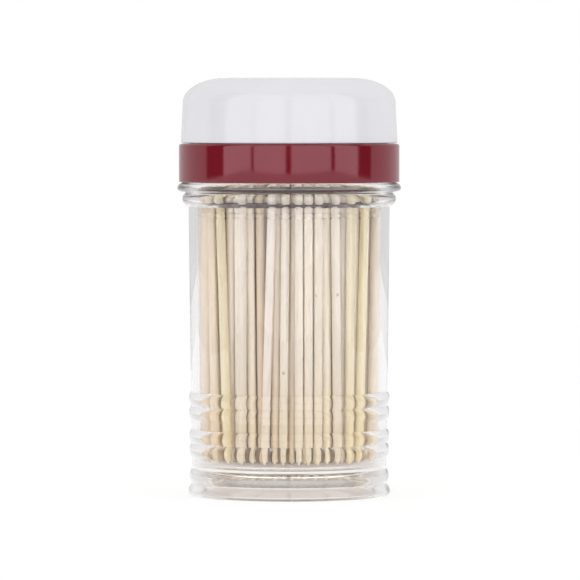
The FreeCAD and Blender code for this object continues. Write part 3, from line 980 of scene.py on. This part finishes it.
def pick_tree():
    """A tree that stands a pick on every point. Its inputs are the pick's sizes."""
    tree = bpy.data.node_groups.new("stand_picks", "GeometryNodeTree")
    tree.interface.new_socket("Geometry", in_out="OUTPUT", socket_type="NodeSocketGeometry")
    kinds = {"Geometry": "Geometry", **dict.fromkeys(PICK_INPUTS, "Float"), "Sides": "Int"}
    for name, kind in (kinds | {"Material": "Material"}).items():
        tree.interface.new_socket(name, in_out="INPUT", socket_type="NodeSocket" + kind)
    nodes = Nodes(tree)

    def stored(geometry, value):
        """Geometry that holds each point's place in the grain."""
        values = {"Geometry": geometry, "Name": "grain", "Value": value}
        return nodes.add("GeometryNodeStoreNamedAttribute", {"data_type": "FLOAT_VECTOR"}, values)

    def named(attribute, kind="FLOAT_VECTOR"):
        """What the geometry holds under a name."""
        return nodes.add("GeometryNodeInputNamedAttribute", {"data_type": kind}, {"Name": attribute})

    points, *given = nodes.add("NodeGroupInput", output=("Geometry", *PICK_INPUTS))
    sides, material = nodes.add("NodeGroupInput", output=("Sides", "Material"))
    heights, widths = zip(*pick_stations(given))
    station = nodes.add("GeometryNodeInputIndex")
    height = pick_station(nodes, station, heights)
    across = pick_station(nodes, station, widths)
    line = nodes.add("GeometryNodeMeshLine", {}, {"Count": len(heights)})
    place = nodes.add("ShaderNodeCombineXYZ", {}, {"Z": height})
    line = nodes.add("GeometryNodeSetPosition", {}, {"Geometry": line, "Position": place})
    curve = nodes.add("GeometryNodeMeshToCurve", {}, {"Mesh": line})
    circle = nodes.add("GeometryNodeCurvePrimitiveCircle", {}, {"Resolution": sides, "Radius": 0.5})
    pick = nodes.add("GeometryNodeCurveToMesh", {}, {
        "Curve": curve, "Profile Curve": circle, "Scale": across, "Fill Caps": True,
    })
    pick = stored(pick, nodes.add("GeometryNodeInputPosition"))
    upright = nodes.add("FunctionNodeAlignRotationToVector", {"axis": "Z"}, {"Vector": named("along")})
    roll = nodes.add("FunctionNodeAxisAngleToRotation", {}, {
        "Axis": (0.0, 0.0, 1.0), "Angle": named("roll", "FLOAT"),
    })
    turned = nodes.add("FunctionNodeRotateRotation", {"rotation_space": "LOCAL"}, {
        "Rotation": upright, "Rotate By": roll,
    })
    bundle = nodes.add("GeometryNodeInstanceOnPoints", {}, {
        "Points": points, "Instance": pick, "Rotation": turned,
    })
    bundle = nodes.add("GeometryNodeRealizeInstances", {}, {"Geometry": bundle})
    grain = nodes.add("ShaderNodeVectorMath", {"operation": "ADD"}, {0: named("grain"), 1: named("offset")})
    bundle = nodes.add("GeometryNodeSetMaterial", {}, {
        "Geometry": stored(bundle, grain), "Material": material,
    })
    nodes.add_output("NodeGroupOutput", 0, bundle)
    return tree


def pick_station(nodes, index, values):
    """The value at each station along a pick."""
    switch = nodes.tree.nodes.new("GeometryNodeIndexSwitch")
    switch.data_type = "FLOAT"
    while len(switch.index_switch_items) < len(values):
        switch.index_switch_items.new()
    nodes.tree.links.new(index.socket, switch.inputs["Index"])
    for socket, value in zip(switch.inputs[1:], values):
        if isinstance(value, Signal):
            nodes.tree.links.new(value.socket, socket)
        else:
            socket.default_value = value
    return Signal(nodes, switch.outputs[0])


def stood_picks(name, picks, shade, tree, values, chance):
    """Plain mesh of many picks, made by a tree from the values of its inputs."""
    piece = pick_points(name, picks, shade, chance)
    modifier = piece.modifiers.new("stand_picks", "NODES")
    modifier.node_group = tree
    for socket in tree.interface.items_tree:
        if socket.in_out == "INPUT" and socket.name in values:
            modifier[socket.identifier] = values[socket.name]
    applied(piece)
    return piece


class DISPENSER_OT_toothpicks(bpy.types.Operator):
    """Stands the toothpicks in the jar"""
    bl_idname = "dispenser.toothpicks"
    bl_label = "Toothpicks"

    def execute(self, context):
        sizes = context.scene.dispenser.picks
        chance = random.Random(sizes.seed)
        single = sorted(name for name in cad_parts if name.startswith("toothpick_"))
        rings = sorted(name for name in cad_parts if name.startswith("toothpicks_ring"))
        if not single or not rings:
            raise RuntimeError("the frame holds no toothpicks")
        outer = [pick_axes(name)[0] for name in single]
        second, *inner = [pick_axes(name) for name in rings]
        near = toned(outer, OUTER_TONES, chance) + toned(second, SECOND_TONES, chance)
        core = core_axes(inner[-1], sizes.ring_step, sizes.row_step)
        far = toned([axis for ring in inner for axis in ring] + core, [], chance)
        tree = pick_tree()
        values = {name: getattr(sizes, name.lower().replace(" ", "_")) for name in PICK_INPUTS}
        values.update({"Sides": sizes.sides, "Material": pick_wood()})
        piece = stood_picks("toothpick_bundle", near, 0.0, tree, values, chance)
        values.update({"Sides": sizes.core_sides, "Point length": sizes.core_point})
        # The core picks are given painted shade (shade 1.0).
        joined(piece, stood_picks("core_picks", far, 1.0, tree, values, chance))
        finish_edges(piece, sharp_deg=60)
        settle(piece, "toothpicks", "pick_wood", *single, *rings)
        return {"FINISHED"}


# ---- Studio ----

# Light panels round the dispenser as (from, to, brightness): degrees from the camera, left negative. The
# brightness is a share of the panels'. What lies between is dark.
PANELS = [
    (-180, -96, 0.4), (-73, -40, 1.0), (-37, -3, 1.0), (2.4, 45, 1.0), (48.6, 77, 1.0), (95, 180, 0.4),
]
# Degrees over which a panel's edge fades.
PANEL_EDGE = 0.3
# How steeply a ray has to rise or fall, as the height of its direction, to pass over or under the panels.
OVER_PANELS = (0.75, 0.9)
UNDER_PANELS = (-0.5, -0.7)
# Distances from the axis over which the painted shadow on the floor seen through the jar fades, from the
# tone under the jar to the one round its foot, then to the plain glass tone.
UNDER_SHADOW_FADE = (20.0 * MM, 30.0 * MM)
NEAR_SHADOW_FADE = (50.0 * MM, 200.0 * MM)
# The darkest flecks in the white card.
CARD_FLECK = (0.985, 0.985, 0.985, 1.0)


def grey(value):
    """A colour of one brightness."""
    return (value, value, value, 1.0)


def panel_stops(dark):
    """Colour stops round the horizon, from straight behind by the left and the front to behind again."""
    stops = []
    for low, high, bright in PANELS:
        stops += [(low, dark), (low + PANEL_EDGE, bright), (high - PANEL_EDGE, bright), (high, dark)]
    return [((turn + 180) / 360, grey(value)) for turn, value in stops[1:-1]]


def light_world(studio):
    """White to the camera, a fill for scattered light, and panels for what is mirrored or refracted."""
    world = bpy.data.worlds.new("studio")
    world.use_nodes = True
    nodes = Nodes(world.node_tree)
    way = nodes.add("ShaderNodeTexCoord", output="Generated")
    x, y, z = nodes.add("ShaderNodeSeparateXYZ", {}, {0: way}, output=("X", "Y", "Z"))
    turn = nodes.add("ShaderNodeMath", {"operation": "ARCTAN2"}, {0: x, 1: -y}) / (2 * math.pi) + 0.5
    ring, glass_ring = [
        nodes.add("ShaderNodeValToRGB", {"stops": panel_stops(dark)}, {"Fac": turn})
        for dark in (studio.dark, studio.glass_dark)
    ]
    camera, gloss, glass, scattered = nodes.light_path()
    mirrored = nodes.mix(glass, ring, glass_ring)
    mirrored = nodes.mix(z.smoothstep(*OVER_PANELS), mirrored, grey(studio.overhead))
    mirrored = nodes.mix(z.smoothstep(*UNDER_PANELS), mirrored, grey(studio.below))
    mirrored = nodes.times(mirrored, (studio.panel, studio.panel, studio.panel))
    mirrored = nodes.mix(gloss * (1 - studio.gloss_share), mirrored, BLACK)
    inner = grey(studio.inner_fill)
    for depth, fill in enumerate((studio.second_fill, studio.third_fill, studio.gap_fill), start=1):
        inner = nodes.mix(scattered > depth + 0.5, inner, (*fill, 1.0))
    lit = nodes.mix(glass, grey(studio.fill), inner)
    colour = nodes.mix(scattered > 0.5, mirrored, lit)
    colour = nodes.mix(camera, colour, WHITE)
    background = nodes.add("ShaderNodeBackground", {}, {"Color": colour})
    nodes.add_output("ShaderNodeOutputWorld", "Surface", background)
    bpy.context.scene.world = world


def floor_paint(studio):
    """White card. To the camera, in mirrors and through glass it shows only part of its shadow. Through
    glass it also shows a painted shadow under and round the jar's foot.
    """
    material, nodes = new_material("white_card")
    place = nodes.object_place()
    card = nodes.noise(place, 60.0, detail=3.0)
    paint = nodes.add("ShaderNodeBsdfDiffuse", {}, {
        "Color": nodes.mix(card.smoothstep(0.3, 0.7), CARD_FLECK, WHITE),
    })
    camera, mirror, glass, scattered = nodes.light_path()
    seen = nodes.add("ShaderNodeMath", {"operation": "MINIMUM"}, {0: camera + mirror + glass, 1: 1.0})
    plain = seen * (scattered < 0.5) * (1 - studio.shadow)
    reach = nodes.add("ShaderNodeVectorMath", {"operation": "LENGTH"}, {0: place}, output="Value")
    # Painted shadow seen through the jar: darkest under it, lighter round its foot, then the plain glass
    # tone.
    under = nodes.mix(reach.smoothstep(*UNDER_SHADOW_FADE), (*studio.painted_under_shadow, 1.0), (*studio.painted_near_shadow, 1.0))
    under = nodes.mix(reach.smoothstep(*NEAR_SHADOW_FADE), under, (*studio.glass_tone, 1.0))
    glow = nodes.add("ShaderNodeEmission", {}, {"Color": nodes.mix(glass, WHITE, under), "Strength": 1.0})
    nodes.surface(nodes.add("ShaderNodeMixShader", {}, {0: plain, 1: paint, 2: glow}))
    return material


class DISPENSER_OT_stage(bpy.types.Operator):
    """Sets up the floor, light and camera"""
    bl_idname = "dispenser.stage"
    bl_label = "Stage"

    def execute(self, context):
        studio = context.scene.dispenser.studio
        light_world(studio)
        reach = studio.floor_reach
        data = bpy.data.meshes.new("floor")
        low = -studio.floor_gap
        corners = [(-reach, -reach, low), (reach, -reach, low), (reach, reach, low), (-reach, reach, low)]
        data.from_pydata(corners, [], [(0, 1, 2, 3)])
        data.materials.append(floor_paint(studio))
        floor = linked("floor", data)
        lens = bpy.data.cameras.new("camera")
        lens.lens = studio.lens
        lens.sensor_width = 36.0
        lens.clip_start = 0.01
        camera = linked("camera", lens)
        camera.location = (studio.aside, -studio.distance, studio.height)
        camera.rotation_euler = (math.pi / 2 - studio.pitch, 0.0, 0.0)
        context.scene.camera = camera
        context.scene.view_settings.view_transform = "Standard"
        # Light that runs round inside the clear foot and flange is turned many times before it leaves.
        cycles = context.scene.cycles
        cycles.max_bounces = 200
        cycles.diffuse_bounces = 8
        cycles.glossy_bounces = 100
        cycles.transmission_bounces = 160
        cycles.use_denoising = True
        return {"FINISHED"}


# ---- Add-on ----

class DISPENSER_PT_panel(bpy.types.Panel):
    """Lists the sizes and the steps of the build."""
    bl_idname = "DISPENSER_PT_panel"
    bl_label = "Toothpick dispenser"
    bl_space_type = "VIEW_3D"
    bl_region_type = "UI"
    bl_category = "Dispenser"

    def draw(self, context):
        settings = context.scene.dispenser
        for step in STEPS:
            self.layout.operator(step.bl_idname)
        for part in Dispenser.__annotations__:
            box = self.layout.box()
            box.label(text=part.capitalize())
            values = getattr(settings, part)
            for name in values.__annotations__:
                box.prop(values, name)


STEPS = [
    DISPENSER_OT_stage, DISPENSER_OT_jar, DISPENSER_OT_collar, DISPENSER_OT_cap, DISPENSER_OT_toothpicks,
]
CLASSES = [
    JarSizes, CollarSizes, CapSizes, PortSizes, PickSizes, Looks, Studio, Dispenser, *STEPS,
    DISPENSER_PT_panel,
]


def register():
    """Registers the classes and the scene's settings."""
    for one in CLASSES:
        bpy.utils.register_class(one)
    bpy.types.Scene.dispenser = bpy.props.PointerProperty(type=Dispenser)


def unregister():
    """Takes them away again."""
    del bpy.types.Scene.dispenser
    for one in reversed(CLASSES):
        bpy.utils.unregister_class(one)


def main():
    """Builds the stage and every piece."""
    register()
    bpy.ops.dispenser.stage()
    bpy.ops.dispenser.jar()
    bpy.ops.dispenser.collar()
    bpy.ops.dispenser.cap()
    bpy.ops.dispenser.toothpicks()


if __name__ == "__main__":
    main()
